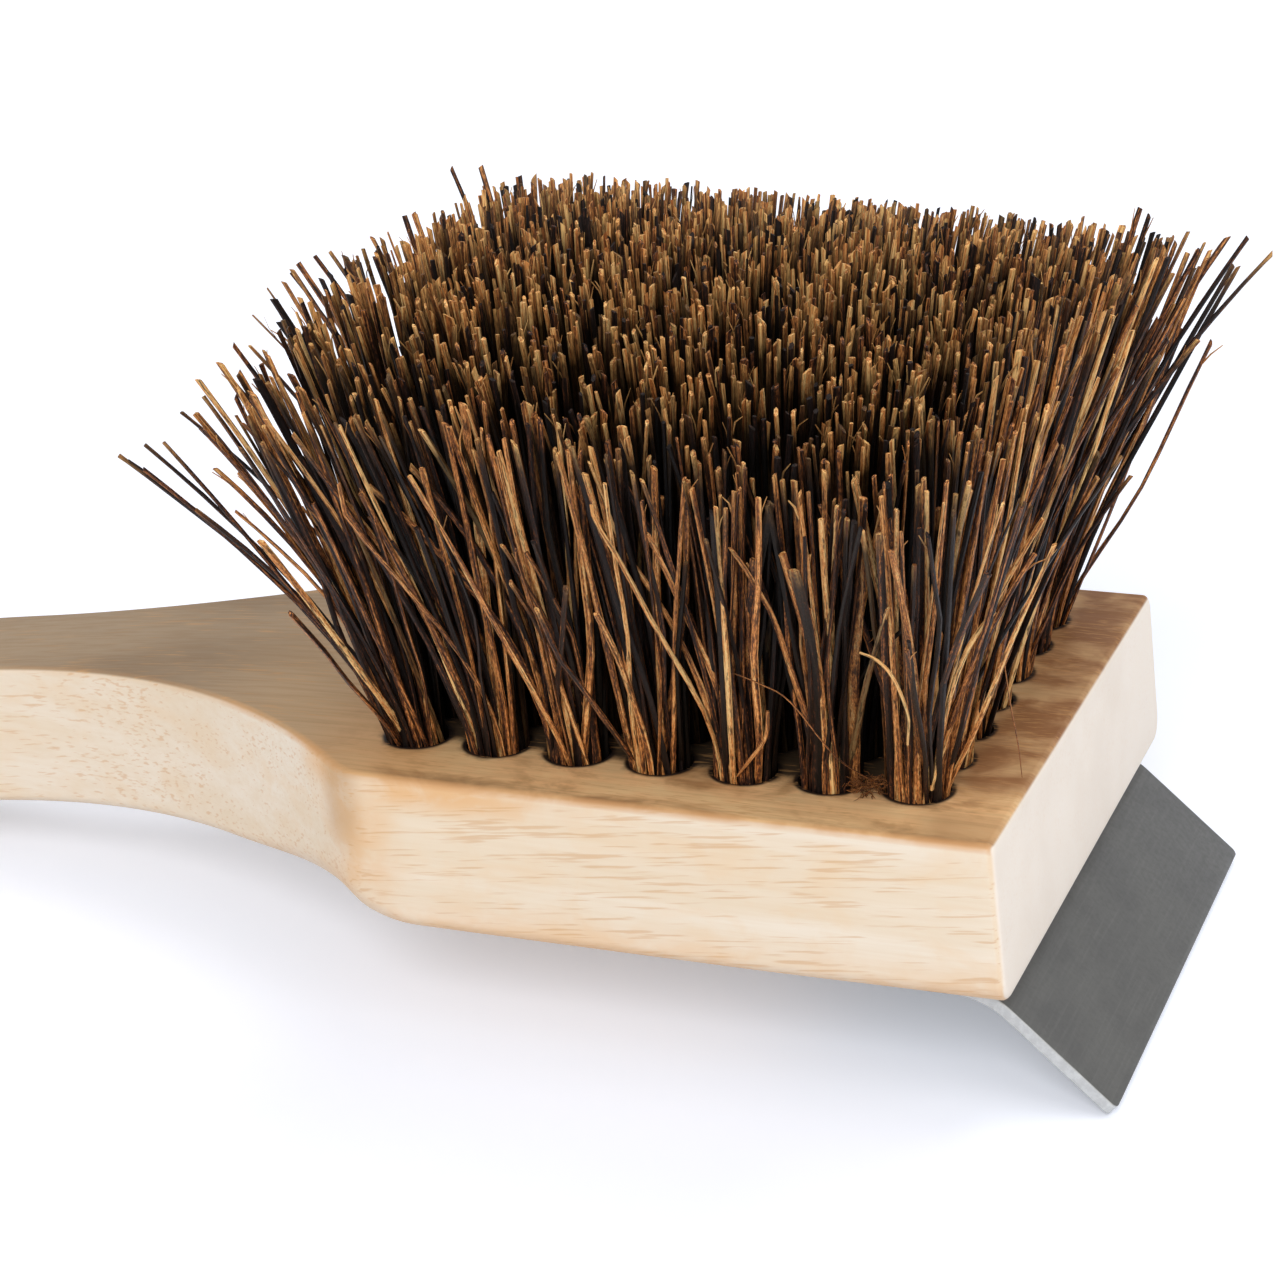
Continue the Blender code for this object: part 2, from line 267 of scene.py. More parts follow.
# Node tools
class Nodes:
    """A node tree under construction: most calls add one node and give its output."""

    def __init__(self, owner):
        owner.use_nodes = True
        self.tree = owner.node_tree

    def node(self, kind, settings=None, **inputs):
        made = self.tree.nodes.new("ShaderNode" + kind)
        for key, value in (settings or {}).items():
            setattr(made, key, value)
        for key, value in inputs.items():
            self.feed(made.inputs[key], value)
        return made

    def feed(self, socket, value):
        """Links an output to the socket, or sets it to a number or a colour."""
        if isinstance(value, bpy.types.NodeSocket):
            self.tree.links.new(value, socket)
        else:
            socket.default_value = (*value, 1) if socket.type == "RGBA" else value

    def position(self):
        return self.node("TexCoord").outputs["Object"]

    def attribute(self, name):
        return self.node("Attribute", {"attribute_name": name}).outputs

    def filled(self, kind, settings, *values):
        """A new node's first output, its inputs filled in their order."""
        made = self.node(kind, settings)
        for socket, value in zip(made.inputs, values):
            self.feed(socket, value)
        return made.outputs[0]

    def math(self, operation, *values, clamp=False):
        return self.filled("Math", {"operation": operation, "use_clamp": clamp}, *values)

    def minus(self, value, other):
        return self.math("SUBTRACT", value, other)

    def away(self, value, other):
        """How far apart two values are."""
        return self.math("ABSOLUTE", self.minus(value, other))

    def times(self, value, *others):
        """The product of all the values."""
        for other in others:
            value = self.math("MULTIPLY", value, other)
        return value

    def noise(self, vector, scale, detail=3, rough=0.6, twist=0, offset=None):
        """Noise from 0 to 1, with one scale or with one for each axis."""
        if isinstance(scale, tuple):
            vector = self.filled("VectorMath", {"operation": "MULTIPLY"}, vector, scale)
            scale = 1
        inputs = dict(Vector=vector, Scale=scale, Detail=detail, Roughness=rough, Distortion=twist)
        if offset is None:
            return self.node("TexNoise", None, **inputs).outputs["Fac"]
        return self.node("TexNoise", {"noise_dimensions": "4D"}, W=offset, **inputs).outputs["Fac"]

    def step(self, value, low, high, result_low=0, result_high=1):
        """A soft step from one result to the other as the value goes from low to high."""
        values = (value, low, high, result_low, result_high)
        return self.filled("MapRange", {"interpolation_type": "SMOOTHSTEP"}, *values)

    def ramp(self, value, *stops):
        made = self.node("ValToRGB", Fac=value)
        elements = made.color_ramp.elements
        while len(elements) < len(stops):
            elements.new(0.5)
        for element, (position, *colour) in zip(elements, stops):
            element.position = position
            element.color = (*rgb(*colour), 1)
        return made.outputs["Color"]

    def mix(self, share, first, second):
        made = self.node("Mix", {"data_type": "RGBA"}, Factor=share)
        self.feed(made.inputs[6], first)
        self.feed(made.inputs[7], second)
        return made.outputs[2]

    def layers(self, colour, *others):
        """A colour with others over it, each given as its share, red, green and blue."""
        for share, *other in others:
            colour = self.mix(share, colour, rgb(*other))
        return colour

    def bump(self, height, strength, distance, normal=None):
        made = self.node("Bump", Height=height, Strength=strength, Distance=distance)
        if normal:
            self.feed(made.inputs["Normal"], normal)
        return made.outputs["Normal"]


class Surface(Nodes):
    """A Principled material under construction."""

    def __init__(self, name, metallic=0):
        self.material = bpy.data.materials.new(name)
        super().__init__(self.material)
        self.shader = self.tree.nodes["Principled BSDF"]
        self.feed(self.shader.inputs["Metallic"], metallic)

    def finish(self, colour, normal, roughness):
        for key, value in (("Base Color", colour), ("Normal", normal), ("Roughness", roughness)):
            self.feed(self.shader.inputs[key], value)
        return self.material


def rgb(*levels):
    """A colour as it shows on a screen, from 0 to 255, in the linear values that shaders take."""
    return tuple(
        level / 255 / 12.92 if level <= 10 else ((level / 255 + 0.055) / 1.055) ** 2.4
        for level in levels
    )


# Materials
def nearest_tuft_distance(nodes, x, y):
    """How far a point on the deck is from the middle of the nearest tuft."""
    squares = []
    for place, first, length, pitch in (
        (x, front_x, field_length, column_pitch),
        (y, field_width / 2, field_width, row_pitch),
    ):
        inside = nodes.math("MAXIMUM", nodes.math("MINIMUM", place, first), first - length)
        within = nodes.math("PINGPONG", nodes.minus(inside, first), pitch / 2)
        distance = nodes.math("ADD", within, nodes.away(place, inside))
        squares.append(nodes.math("POWER", distance, 2))
    return nodes.math("SQRT", nodes.math("ADD", *squares))


def make_wood():
    nodes = Surface("pale_rubberwood")
    mix, step, times, texture = nodes.mix, nodes.step, nodes.times, nodes.noise
    place = nodes.position()
    x, y, z = nodes.node("SeparateXYZ", Vector=place).outputs
    facing = nodes.node("NewGeometry").outputs["Normal"]
    facing_x, _, facing_z = nodes.node("SeparateXYZ", Vector=facing).outputs
    side = head_width / 2

    # Growth bands and fine grain along the board, and short pores, slanted a little
    bands = texture(place, (5, 75, 110), 4, 0.55, 0.6)
    grain = texture(place, (55, 1500, 1500))
    patches = texture(place, (22, 60, 60), 3, 0.55)
    blotches = texture(place, (110, 170, 170), 4, 0.6, 0.4)
    rising = nodes.minus(z, times(x, 0.13))
    slanted = nodes.node("CombineXYZ", X=x, Y=y, Z=rising).outputs[0]
    pores = texture(slanted, (150, 2800, 2800), 2, 0.45)
    pore_level = step(texture(place, (45, 150, 150), 2, 0.5), 0.35, 0.65, 0.64, 0.53)
    pore = step(nodes.minus(pores, pore_level), -0.01, 0.13)
    pore = times(pore, step(facing_x, 0.6, 0.85, 1, 0.15))
    pale = nodes.ramp(
        bands,
        (0.25, 245, 234, 218),
        (0.45, 242, 228, 208),
        (0.62, 236, 217, 190),
        (0.8, 241, 225, 203),
    )

    # The nose is end grain, pinker and even
    nose = times(step(facing_x, 0.6, 0.85), step(x, home.x - 0.006, home.x - 0.003))
    not_nose = nodes.minus(1, nose)

    # Orange stains on the sides: under the deck by the rear corner, on that corner, and low down
    under_deck = step(z, home.z - 0.0052, home.z - 0.0015)
    under_deck = times(under_deck, step(x, rear_x + 0.012, rear_x + 0.036, 1, 0))
    on_corner = step(nodes.away(x, rear_x + 0.001), 0, 0.008, 0.8, 0)
    on_corner = times(on_corner, step(z, home.z - 0.03, home.z - 0.008, 0.4, 1))
    low_down = step(z, home.z - board_thickness, home.z - board_thickness * 0.68, 0.6, 0)
    stain = nodes.math("MAXIMUM", nodes.math("MAXIMUM", under_deck, on_corner), low_down)
    ahead = times(step(x, rear_x - 0.012, rear_x - 0.002), step(blotches, 0.3, 0.55, 0.35, 1))

    # A darker line down the rear corner, then all that lies over the pale sides, nose and handle
    line = step(nodes.away(x, rear_x - 0.001), 0.001, 0.0045, 0.6, 0)
    line = times(line, step(z, home.z - 0.0125, home.z - 0.0045))
    line = times(line, step(patches, 0.35, 0.55, 0.55, 1))
    pale = nodes.layers(
        pale,
        (step(grain, 0.35, 0.75, 0, 0.26), 226, 198, 160),
        (step(blotches, 0.45, 0.72, 0, 0.45), 236, 204, 164),
        (times(nose, 0.9), 252, 241, 227),
        (times(nose, step(patches, 0.4, 0.7, 0, 0.25)), 226, 208, 188),
        (times(stain, ahead, not_nose), 232, 186, 134),
        (line, 190, 150, 104),
        (step(x, rear_x - 0.03, rear_x + 0.01, 0.25, 0), 214, 194, 168),
    )

    # Faces that turn upwards are painted darker than the sides, as painted shade. The deck is tan
    # with brown blotches, darker at its rim, by the nose, in the near front corner and at the rear,
    # and the handle's top is greyer
    deck = nodes.ramp(blotches, (0.3, 255, 216, 160), (0.5, 250, 202, 145), (0.66, 196, 146, 96))
    rim = step(nodes.math("ABSOLUTE", y), side - 0.0035, side - 0.001)
    by_nose = step(x, front_x, home.x - front_margin * 0.55)
    by_nose = times(by_nose, step(y, side_margin / 2 - side, side_margin * 1.5 - side))
    corner = step(x, front_x, home.x - front_margin * 0.5)
    corner = times(corner, step(y, -head_width * 0.44, -head_width * 0.36, 0.5, 0))
    deck = nodes.layers(
        deck,
        (times(rim, step(blotches, 0.35, 0.6, 0, 0.55)), 170, 134, 94),
        (times(by_nose, step(blotches, 0.35, 0.6, 0.55, 0.95)), 150, 100, 60),
        (corner, 168, 124, 84),
        (step(x, rear_x, rear_x + 0.016, 0.55, 0), 204, 150, 94),
    )
    handle = nodes.layers(
        rgb(168, 144, 116),
        (step(patches, 0.35, 0.7), 148, 124, 97),
        (step(x, rear_x - 0.035, rear_x - 0.005, 0, 0.7), 214, 176, 130),
    )
    on_head = step(x, rear_x - 0.012, rear_x + 0.004)

    # Soil and painted shade round each tuft, ragged black painted shade between the tufts, and
    # painted shade on the walls of their holes
    fluff = texture(place, 420, 4, 0.65)
    to_tuft = nearest_tuft_distance(nodes, x, y)
    reach = nodes.math("ADD", to_tuft, times(fluff, 0.0026))
    waver = times(nodes.minus(fluff, 0.5), 0.003)
    # The deck among the tufts, out to a ragged edge, is painted nearly black as shade
    painted_shade_between_tufts = 0.94
    for along, low, high in (
        (y, -field_width / 2, field_width / 2),
        (x, front_x - field_length, front_x),
    ):
        wavering = nodes.math("ADD", along, waver)
        painted_shade_between_tufts = times(painted_shade_between_tufts, step(wavering, low - 0.0013, low + 0.0007))
        painted_shade_between_tufts = times(painted_shade_between_tufts, step(wavering, high - 0.0007, high + 0.0013, 1, 0))
    top_with_painted_shade = nodes.layers(
        mix(on_head, handle, deck),
        (step(grain, 0.35, 0.75, 0, 0.22), 140, 102, 66),
        (times(step(reach, 0.0044, 0.0062, 0.9, 0), on_head), 92, 54, 31),
        (painted_shade_between_tufts, 22, 12, 8),
    )
    # The walls and floor of each tuft's hole are painted dark as shade
    hole_end = home.z - hole_depth
    painted_hole_shade = step(to_tuft, hole_radius + 0.0003, hole_radius + 0.0008, 1, 0)
    painted_hole_shade = times(painted_hole_shade, step(z, hole_end - 0.001, hole_end - 0.0002))

    # Worn edges are warmer, the upright ones of the nose too
    turned = times(step(facing_x, 0.15, 0.45), step(facing_x, 0.75, 0.97, 1, 0))
    turned = times(turned, step(nodes.math("ABSOLUTE", facing_z), 0.2, 0.5, 0.5, 0))
    turned = times(turned, step(patches, 0.4, 0.6, 0.15, 1))
    worn = nodes.attribute("edge_share")["Fac"]
    worn = times(worn, step(blotches, 0.3, 0.6, 0.35, 0.8), not_nose)
    worn = times(worn, step(x, rear_x - 0.045, rear_x - 0.005, 0.25, 1))
    # Faces that turn upwards take the darker deck and handle colours as painted shade
    colour = nodes.layers(
        mix(step(facing_z, 0.5, 0.8), pale, top_with_painted_shade),
        (painted_hole_shade, 30, 18, 12),
        (turned, 234, 202, 160),
        (worn, 214, 160, 106),
        (times(pore, 0.44), 210, 157, 98),
    )

    normal = nodes.bump(grain, 0.15, 0.00008)
    normal = nodes.bump(nodes.minus(1, pore), 0.12, 0.00006, normal)
    normal = nodes.bump(blotches, 0.08, 0.0003, normal)
    return nodes.finish(colour, normal, step(grain, 0.3, 0.8, 0.5, 0.68))


def make_fibre():
    """Palm fibre: the points hold a fibre's tone, its pale tip, its speckle and its painted shade.
    """
    nodes = Surface("palm_fibre")
    nodes.feed(nodes.shader.inputs["Specular IOR Level"], 0.2)
    mix, step, times = nodes.mix, nodes.step, nodes.times
    around = nodes.attribute("fibre_place")["Vector"]
    tint = nodes.attribute("fibre_tint")
    soot = nodes.attribute("fibre_soot")["Fac"]
    tone, tip, seed = nodes.node("SeparateColor", Color=tint["Color"]).outputs
    seed = times(seed, 90)

    def texture(across, along, detail, rough, twist=0):
        return nodes.noise(around, (across, across, along), detail, rough, twist, seed)

    streaks = texture(1.2, 80, 3, 0.6, 0.2)
    bark = texture(1.6, 380, 3, 0.6, 0.3)
    flecks = texture(2.6, 1500, 3, 0.65)
    dots = texture(5, 2600, 2, 0.5)
    level = nodes.math("ADD", tone, step(streaks, 0.36, 0.64, -0.2, 0.22))
    level = nodes.math("ADD", level, step(flecks, 0.36, 0.66, -0.12, 0.17), clamp=True)
    colour = nodes.ramp(
        level,
        (0, 13, 9, 8),
        (0.24, 38, 25, 20),
        (0.4, 94, 55, 35),
        (0.56, 170, 106, 58),
        (0.74, 231, 153, 84),
        (1, 255, 209, 139),
    )
    colour = nodes.layers(
        colour,
        (step(bark, 0.52, 0.6, 0, 0.8), 36, 25, 22),
        (times(step(dots, 0.46, 0.54), tint["Alpha"], 0.75), 44, 31, 27),
        # Painted shade: the low parts of fibres deep among the tufts are darkened almost to black
        (times(soot, 0.96), 7, 4, 2),
    )
    end_grain = mix(step(streaks, 0.38, 0.62), rgb(182, 104, 48), rgb(250, 200, 124))
    colour = mix(times(tip, step(flecks, 0.32, 0.6, 0.15, 0.85)), colour, end_grain)
    normal = nodes.bump(streaks, 0.5, 0.0003)
    normal = nodes.bump(flecks, 0.5, 0.0001, normal)
    return nodes.finish(colour, normal, step(flecks, 0.3, 0.8, 0.42, 0.62))


def make_blade_steel():
    nodes = Surface("satin_blade_steel", 0.6)
    step = nodes.step
    place = nodes.position()
    clouds = nodes.noise(place, 120, 4)
    mottle = nodes.noise(place, 1400)
    rolled = nodes.noise(place, (2600, 90, 2600), 3, 0.55)
    # The sheared edges are painted near white: partly bare steel, partly a painted highlight
    bare_edge_and_highlight = nodes.times(nodes.attribute("edge_share")["Fac"], step(mottle, 0.35, 0.65, 0.78, 1))
    colour = nodes.layers(
        rgb(119, 119, 117),
        (step(clouds, 0.35, 0.7), 111, 111, 110),
        (step(mottle, 0.4, 0.75, 0, 0.3), 100, 100, 99),
        (step(rolled, 0.45, 0.8, 0, 0.25), 146, 146, 143),
        (bare_edge_and_highlight, 207, 208, 206),
    )
    normal = nodes.bump(mottle, 0.12, 0.00004)
    normal = nodes.bump(rolled, 0.12, 0.00005, normal)
    return nodes.finish(colour, normal, step(mottle, 0.3, 0.8, 0.38, 0.52))


def make_zinc():
    nodes = Surface("zinc_plate", 1)
    step = nodes.step
    place = nodes.position()
    crystals = nodes.noise(place, 2600)
    dull = nodes.noise(place, 500)
    colour = nodes.layers(
        rgb(206, 207, 206),
        (step(crystals, 0.35, 0.7), 182, 184, 186),
        (step(dull, 0.5, 0.75, 0, 0.5), 150, 152, 152),
    )
    normal = nodes.bump(crystals, 0.15, 0.00004)
    return nodes.finish(colour, normal, step(dull, 0.3, 0.8, 0.24, 0.42))


# The wooden block
corner_steps = 8
head_station = 0.0015
grip_station = 0.004
nose_steps = 5
tail_steps = 16
hole_sides = 28
corner_share = 0.62
lower_edge_share = 0.3
cut_reach = 0.002


def half_width_at(back, inset):
    """Half the block's width at a distance back from its nose, drawn in all round by an inset."""
    head = head_width / 2 - inset
    if back < neck_end:
        radius = neck_radius + inset
        ahead = neck_end - back
        if ahead > radius:
            return head
        neck = waist_width / 2 + neck_radius - math.sqrt(radius**2 - ahead**2)
        return (head + neck - math.hypot(head - neck, rear_corner_ease)) / 2
    if back < grip_widest:
        width = blend(waist_width, grip_width, (back - neck_end) / (grip_widest - neck_end))
    else:
        width = blend(grip_width, tail_width, (back - grip_widest) / (block_length - grip_widest))
    return width / 2 - inset


def block_section(back, inset=0, narrow_share=1):
    """The block's outline across at one place: points round it, each with its share of an edge."""
    top = -handle_drop * ease((back - head_length) / drop_length) - inset
    bottom = top + 2 * inset - board_thickness
    into_grip = (back - neck_end) / grip_rounding_length
    top_radius = blend(deck_edge_radius, grip_edge_radius, into_grip)
    lower_radius = blend(back_edge_radius, neck_edge_radius, (back - head_length) / neck_length)
    lower_radius += nose_wear * ease(1 - back / nose_wear_reach)
    beyond = back - head_length - shoulder_wear_back
    lower_radius += shoulder_wear * ease(1 - abs(beyond) / shoulder_wear_reach[beyond > 0])
    back_radius = blend(lower_radius, grip_edge_radius, into_grip)
    slant_share = max(1 - back / nose_slant_reach, 0)
    points = []
    for corner, (side, up) in enumerate(((1, 1), (-1, 1), (-1, -1), (1, -1))):
        level, radius = (top, top_radius) if up > 0 else (bottom, back_radius)
        radius = min(radius, half_width_at(back, inset) * narrow_share * corner_share)
        for k in range(corner_steps + 1):
            turn = math.pi / 2 * (corner + k / corner_steps)
            rounding = radius * (1 - abs(math.cos(turn)))
            y = side * half_width_at(back, inset + rounding) * narrow_share
            z = level - up * radius + radius * math.sin(turn)
            forward = -nose_slant * z / board_thickness * slant_share
            edge_share = abs(math.sin(2 * turn)) * (1 if up > 0 else lower_edge_share)
            points.append(((forward - back, y, z), edge_share))
    return points


def block_sections():
    sections = []
    for turn in quarter(nose_steps):
        back = nose_edge_radius * (1 - math.cos(turn))
        sections.append(block_section(back, nose_edge_radius * (1 - math.sin(turn))))
    for start, end, pace in (
        (nose_edge_radius, neck_end, head_station),
        (neck_end, block_length - tail_length, grip_station),
    ):
        count = round((end - start) / pace)
        for k in range(1, count + 1):
            sections.append(block_section(start + (end - start) * k / count))
    for turn in quarter(tail_steps)[1:-1]:
        back = block_length - tail_length * (1 - math.sin(turn))
        inset = grip_edge_radius / 2 * (1 - math.cos(turn))
        sections.append(block_section(back, inset, math.cos(turn)))
    return sections


def tuft_places():
    """Each tuft's row and column, counted from 1, and its middle on the deck."""
    for row in range(tuft_rows):
        for column in range(tuft_columns):
            x = -(front_margin + column * column_pitch)
            y = (row - (tuft_rows - 1) / 2) * row_pitch
            yield row + 1, column + 1, x, y


def sink_hole(bm, x, y, chance):
    """One tuft's hole with an unevenly worn rim; returns the edges of the rim."""
    below, rim = walls(bm, [circle(hole_radius, z, hole_sides, x, y) for z in (-hole_depth, 0)])
    bm.faces.new(below)
    first, second = chance.uniform(0, math.tau), chance.uniform(0, math.tau)
    for k, vertex in enumerate(rim):
        angle = math.tau * k / hole_sides
        wave = 0.6 * math.sin(3 * angle + first) + 0.4 * math.sin(7 * angle + second)
        wear = hole_rim_wear * (1 + wave)
        vertex.co.x += wear * math.cos(angle)
        vertex.co.y += wear * math.sin(angle)
    return [bm.edges.get((rim[k - 1], rim[k])) for k in range(hole_sides)]


def screw_bores(low, high, sides):
    radius, ends = screw_shank_radius + plate_gap, (low, high)
    return [[circle(radius, z, sides, screw_x, y) for z in ends] for y in (-screw_y, screw_y)]


def block_mesh():
    """The block, its edges' wear stored on its points, its holes drilled and its deck filled."""
    bm = bmesh.new()
    sections = block_sections()
    edge_layer = bm.verts.layers.float.new("edge_share")
    loops = loft(bm, [[point for point, _ in section] for section in sections])
    for loop, section in zip(loops, sections):
        for vertex, (_, edge_share) in zip(loop, section):
            vertex[edge_layer] = edge_share
    deck = [face for face in bm.faces if not any(vertex.co.z for vertex in face.verts)]
    deck = bmesh.ops.dissolve_faces(bm, faces=deck)["region"]
    edges = list(deck[0].edges)
    bmesh.ops.delete(bm, geom=deck, context="FACES_ONLY")
    chance = random.Random(5)
    for _, _, x, y in tuft_places():
        edges += sink_hole(bm, x, y, chance)
    bmesh.ops.triangle_fill(bm, use_beauty=True, edges=edges)
    mesh = finished_mesh("block", bm)

    pilots = screw_bores(-board_thickness - cut_reach, screw_top + plate_gap, hole_sides)
    hang_top = -handle_drop
    hang_back = hang_top - board_thickness
    widest = hang_hole_radius + 2 * hang_hole_flare
    hang_profile = (
        (widest, hang_back - hang_hole_flare),
        (hang_hole_radius, hang_back + hang_hole_flare),
        (hang_hole_radius, hang_top - hang_hole_flare),
        (widest, hang_top + hang_hole_flare),
    )
    hang_x = hang_hole_inset - block_length
    hang_hole = [circle(radius, z, 2 * hole_sides, hang_x) for radius, z in hang_profile]
    return smooth(cut(mesh, hang_hole, *pilots), 32)


# The tufts
fibres_per_tuft = 60
rim_fibres = 6
fibre_sides = 6
packing_radius = 0.0034
fold_radius_share = 0.8
fold_room = 0.0006
root_sink = 0.0004
# How far below a fibre's tip its painted shade grows to full
soot_reach = 0.0031
shape_shares = (0, 0.07, 0.15, 0.25, 0.36, 0.48, 0.6, 0.72, 0.83, 0.92, 0.975, 1)
tip_reach_share = 0.52
tip_light_shares = (0.05, 0.45, 1)
widest_tip = 0.0551
tones = (0.04, 0.22, 0.42, 0.62, 0.84)
tone_weights = (32, 16, 18, 19, 15)

# Loose fibres, placed as the photograph shows them, by the row and column of their tuft:
# where the tip lies from the tuft's middle along X, Y and Z in millimetres, the tone from 0 dark
# to 1 pale, half the width in millimetres, then how round the fibre is and its speckle, if they
# aren't the usual ones
loose_fibres = {
    (1, 7): (
        (-26.5, -15, 37, 0.1, 0.36), (-25.5, -14.5, 36.2, 0.16, 0.3), (-23.5, -14, 38.2, 0.1, 0.32),
        (-18.3, -11, 41.2, 0.26, 0.4), (-23, -16, 36, 0.22, 0.32), (-17.3, -15, 31.4, 0.14, 0.34),
        (-11.5, -17, 32.4, 0.58, 0.36, 0.7, 0.2), (-14.6, -15, 36.4, 0.46, 0.4, 0.7, 0.2),
        (-12, -14.5, 36, 0.62, 0.4, 0.7, 0.1),
    ),
    (2, 7): ((-24, -13, 38.8, 0.18, 0.26, 0.9), (-20.3, -9, 42.4, 0.2, 0.36),),
    (3, 7): (
        (-22, -8.2, 42.7, 0.14, 0.3, 0.9), (-21, -2.7, 44, 0.24, 0.36),
        (-23.3, 3.5, 47, 0.46, 0.36, 0.7, 0.2), (-23.7, 0.4, 47, 0.26, 0.15, 0.9),
    ),
    (4, 7): (
        (-29, -3, 42, 0.3, 0.16, 0.9), (-25, 0.5, 46.5, 0.18, 0.24, 0.9),
        (-24.6, 0, 47, 0.28, 0.36), (-25.2, 3, 47, 0.44, 0.42, 0.6, 0.2),
    ),
    (7, 7): ((-17.5, 6, 51.9, 0.3, 0.4), (-14, 7, 52.1, 0.4, 0.52),),
    (1, 6): ((-9.2, -15, 33.8, 0.7, 0.4, 0.7, 0.1),),
    (1, 5): ((-14, -19, 37.3, 0.42, 0.5, 0.6, 0.3), (-9.4, -18.2, 39.6, 0.24, 0.44, 0.7),),
    (1, 3): (
        (-9.5, -17, 35.5, 0.66, 0.46, 0.5, 0.4), (-2.1, -21, 35.3, 0.68, 0.46, 0.6, 0.2),
        (-5.8, -17.3, 39.6, 0.2, 0.46, 0.7), (9, -19.4, 32.9, 0.44, 0.74, 0.4, 0.6),
    ),
    (1, 2): (
        (-4.1, -17.7, 38.7, 0.14, 0.42, 0.7), (-2.8, -21.5, 34.6, 0.6, 0.44, 0.6, 0.3),
        (2.5, -20.6, 34.3, 0.62, 0.5, 0.6, 0.3), (4.4, -19.2, 27.9, 0.64, 0.42, 0.7, 0.1),
    ),
    (1, 1): (
        (-4.4, -17.7, 38.6, 0.38, 0.46, 0.7, 0.2), (2.5, -18.5, 37.6, 0.5, 0.92, 0.35, 1),
        (11, -17, 41.3, 0.86, 0.42, 0.6), (17, -12, 36.9, 0.72, 0.38, 0.7, 0.1),
        (16.5, -13, 33.6, 0.46, 0.44, 0.7, 0.2),
    ),
    (2, 1): ((8.2, -7, 45.3, 0.84, 0.44, 0.5), (15.3, -8.5, 41, 0.4, 0.46, 0.7, 0.2),),
    (7, 1): (
        (25, 16, 43.3, 0.16, 0.34, 0.9), (21.8, 16.4, 45, 0.14, 0.36, 0.9),
        (14.9, 15.4, 45.6, 0.3, 0.34, 0.9), (19.5, 16, 45, 0.34, 0.4, 0.7),
        (10.4, 8.8, 50, 0.34, 0.42, 0.8, 0.1), (12.3, 5.4, 50, 0.22, 0.38),
    ),
    (6, 1): ((20, 5, 38, 0.2, 0.44), (21.1, 0.3, 50, 0.24, 0.38),),
    (5, 1): ((15.4, 0.5, 25.5, 0.24, 0.32, 0.9),),
    (5, 7): ((-24.8, -2.3, 47, 0.36, 0.42, 0.7, 0.1), (-23.7, -0.2, 47, 0.2, 0.36),),
}

# Fine hairs that came loose: the tuft's row and column, the tone, half the width in millimetres,
# and the places that each runs through, in millimetres from the nose, the middle and the deck
loose_hairs = (
    (1, 2, 0.46, 0.1, (
        (-28.5, -37.5, 16.8), (-25.1, -38, 16), (-21.8, -38, 14.3), (-18.2, -34, 6.6),
        (-15.6, -28, 1.2),
    )),
    (1, 1, 0.98, 0.2, (
        (-12.4, -43, 22.8), (-10.7, -43, 22.2), (-9.1, -42.5, 20.2), (-8.3, -40, 15.1),
        (-9.3, -37, 10.3),
    )),
    (1, 1, 0.46, 0.06, (
        (-14.2, -35, 21.3), (-13.9, -35, 22), (-13.3, -35, 21.8), (-13.5, -35, 21),
        (-14, -35, 20.6),
    )),
    (1, 3, 0.56, 0.26, ((-25.4, -35, 11.6), (-26.1, -34, 8), (-28.3, -32.5, 4.8), (-31, -30, 1.2))),
    (1, 1, 0.86, 0.34, (
        (0.2, -37, 26.1), (-1.5, -36.5, 23.8), (-3.2, -36, 20.7), (-5.4, -34.5, 14.8),
        (-8.8, -30, 2.1),
    )),
    (1, 1, 0.5, 0.08, ((0, -33, 19.8), (0.5, -32.5, 14.6), (1, -31, 8.9), (0.9, -29, 4.2))),
)

# The tangle of fine hairs on the deck
fluff_tuft = (1, 2)
fluff_place = (-16.6, -28, 0)
fluff_hairs = 90
fluff_radius = 0.0016
fluff_low, fluff_high = 0.0002, 0.002


